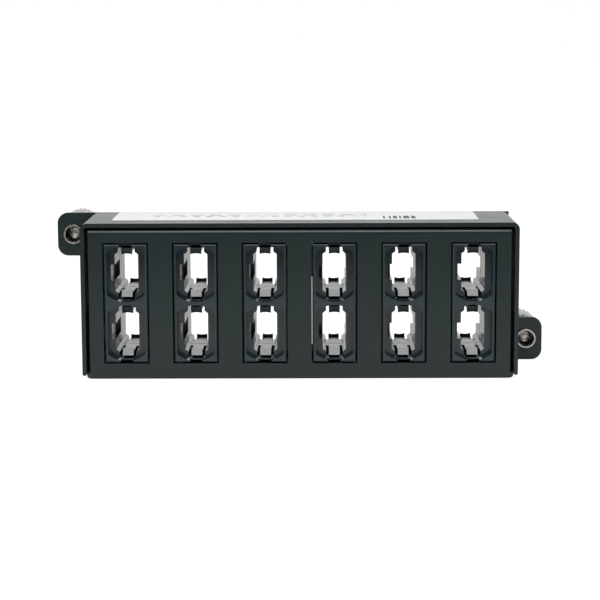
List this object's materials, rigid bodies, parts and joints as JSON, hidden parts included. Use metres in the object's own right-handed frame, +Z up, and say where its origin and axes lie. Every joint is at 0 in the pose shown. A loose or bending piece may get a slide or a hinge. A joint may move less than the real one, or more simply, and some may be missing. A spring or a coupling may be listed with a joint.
{
  "type": "fibre cassette",
  "caption": "Low folded-steel fibre optic cassette with a row of pass-through duplex adapters and two diagonal ears with spring-loaded captive thumbscrews.",
  "frame": {"origin": "centre of the underside", "axes": "+X along the row of ports to the right as seen from the rear, +Y out of the front with the thumbscrew knobs, +Z up"},
  "size_m": [0.1128, 0.0415, 0.0345],
  "materials": {
    "black_powder_coat": "fine matt black powder coat on folded steel sheet",
    "label_paper": "smooth white coated label stock",
    "black_screw_steel": "black oxide on small steel screws",
    "zinc_steel": "bright zinc plate on turned steel",
    "adapter_plastic": "smooth moulded black thermoplastic",
    "spring_steel": "drawn spring wire",
    "satin_aluminium": "turned and knurled, satin"
  },
  "bodies": {
    "chassis": {"base_chassis": "black_powder_coat", "top_cover": "black_powder_coat", "top_label": "label_paper", "cover_screws": "black_screw_steel", "clinch_nuts": "zinc_steel", "adapter_1_rear_half": "adapter_plastic", "adapter_1_front_half": "adapter_plastic", "adapter_2_rear_half": "adapter_plastic", "adapter_2_front_half": "adapter_plastic", "adapter_3_rear_half": "adapter_plastic", "adapter_3_front_half": "adapter_plastic", "adapter_4_rear_half": "adapter_plastic", "adapter_4_front_half": "adapter_plastic", "adapter_5_rear_half": "adapter_plastic", "adapter_5_front_half": "adapter_plastic", "adapter_6_rear_half": "adapter_plastic", "adapter_6_front_half": "adapter_plastic", "left_sleeve": "zinc_steel", "right_sleeve": "zinc_steel"},
    "left_spring_end": {"left_spring": "spring_steel"},
    "left_thumbscrew": {"left_screw": "zinc_steel", "left_knob": "satin_aluminium"},
    "right_spring_end": {"right_spring": "spring_steel"},
    "right_thumbscrew": {"right_screw": "zinc_steel", "right_knob": "satin_aluminium"}
  },
  "joints": [
    {"name": "left_screw_push", "type": "slide", "parent": "chassis", "child": "left_spring_end", "axis": [0, -1, 0], "range_m": [0, 0.008], "stiffness_N_per_m": 300, "springref_m": -0.004, "deforming": ["left_spring"]},
    {"name": "left_screw_turn", "type": "hinge", "parent": "left_spring_end", "child": "left_thumbscrew", "pos_m": [-0.05205, 0.021, 0.02945], "axis": [0, 1, 0], "continuous": true},
    {"name": "right_screw_push", "type": "slide", "parent": "chassis", "child": "right_spring_end", "axis": [0, -1, 0], "range_m": [0, 0.008], "stiffness_N_per_m": 300, "springref_m": -0.004, "deforming": ["right_spring"]},
    {"name": "right_screw_turn", "type": "hinge", "parent": "right_spring_end", "child": "right_thumbscrew", "pos_m": [0.05205, 0.021, 0.00495], "axis": [0, 1, 0], "continuous": true}
  ]
}
